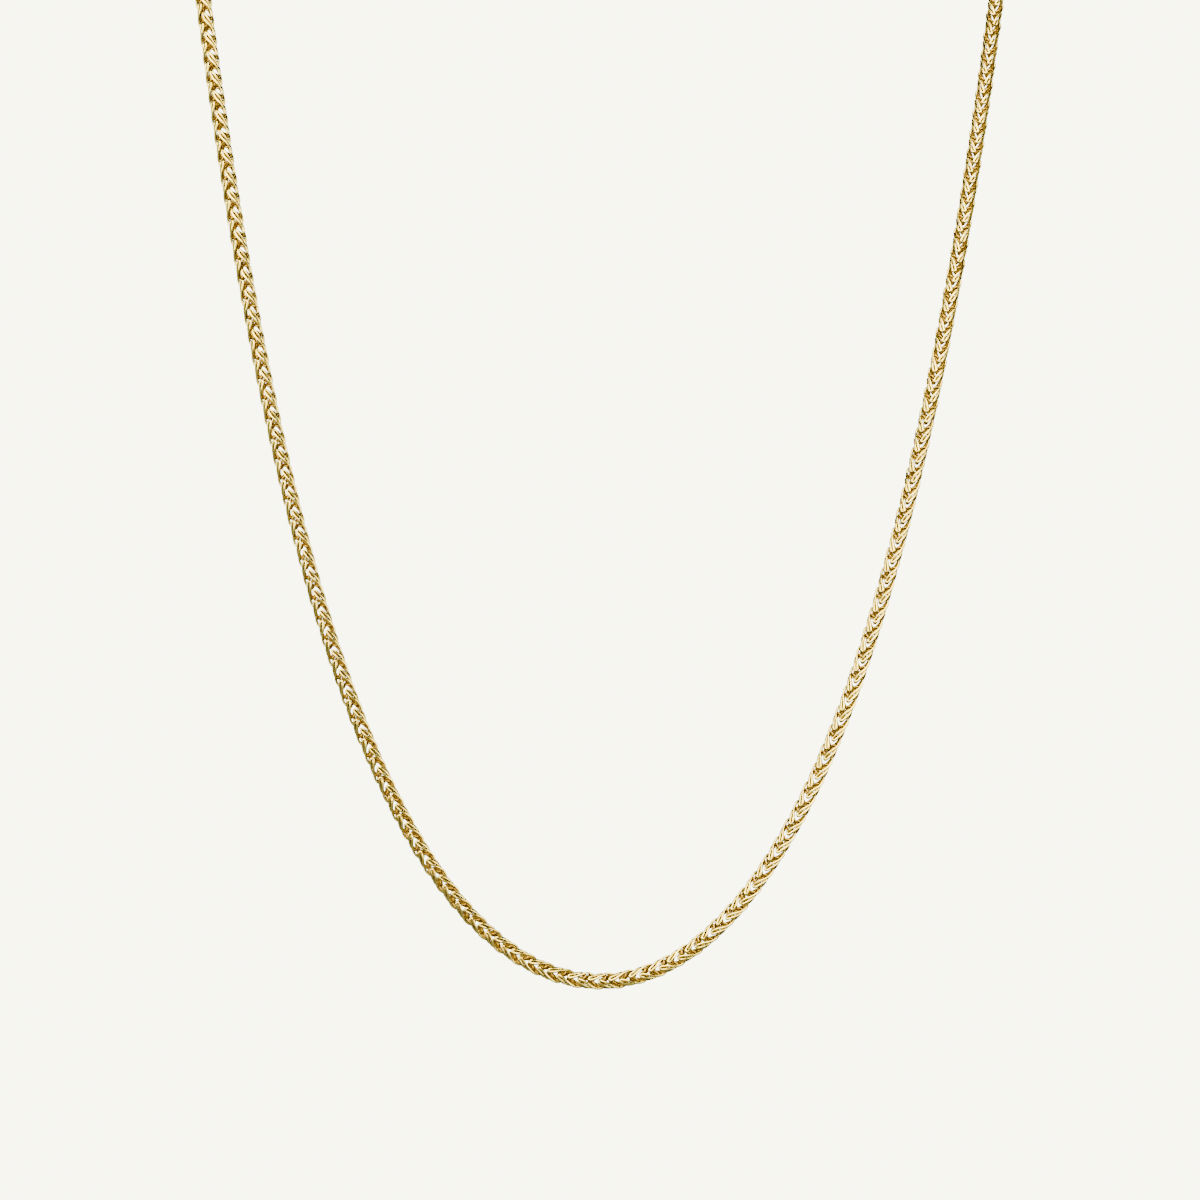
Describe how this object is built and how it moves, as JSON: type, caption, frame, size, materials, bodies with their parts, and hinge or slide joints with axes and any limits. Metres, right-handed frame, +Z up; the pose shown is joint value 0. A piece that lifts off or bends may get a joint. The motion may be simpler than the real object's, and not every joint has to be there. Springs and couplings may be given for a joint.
{
  "type": "wheat chain necklace",
  "caption": "Gold neck chain of interwoven twisted oval links, hanging in its worn curve, with plain end caps, rings and a closed round clasp.",
  "frame": {"origin": "where the clasp lies against the nape of the neck, on the skin side of the clasp's middle", "axes": "+Z up, +Y out of the back of the neck, -Y towards the viewer in front, +X to the viewer's right"},
  "size_m": [0.1024, 0.0663, 0.1608],
  "materials": {
    "chain_gold": "polished drawn wire of yellow gold",
    "fitting_gold": "turned and polished yellow gold",
    "ring_gold": "polished drawn wire of yellow gold",
    "clasp_gold": "polished yellow gold tube"
  },
  "bodies": {
    "root": {"chain": "chain_gold", "left_end_cap": "fitting_gold", "right_end_cap": "fitting_gold", "joining_ring": "ring_gold", "catch_ring": "ring_gold", "clasp": "clasp_gold"}
  },
  "joints": []
}
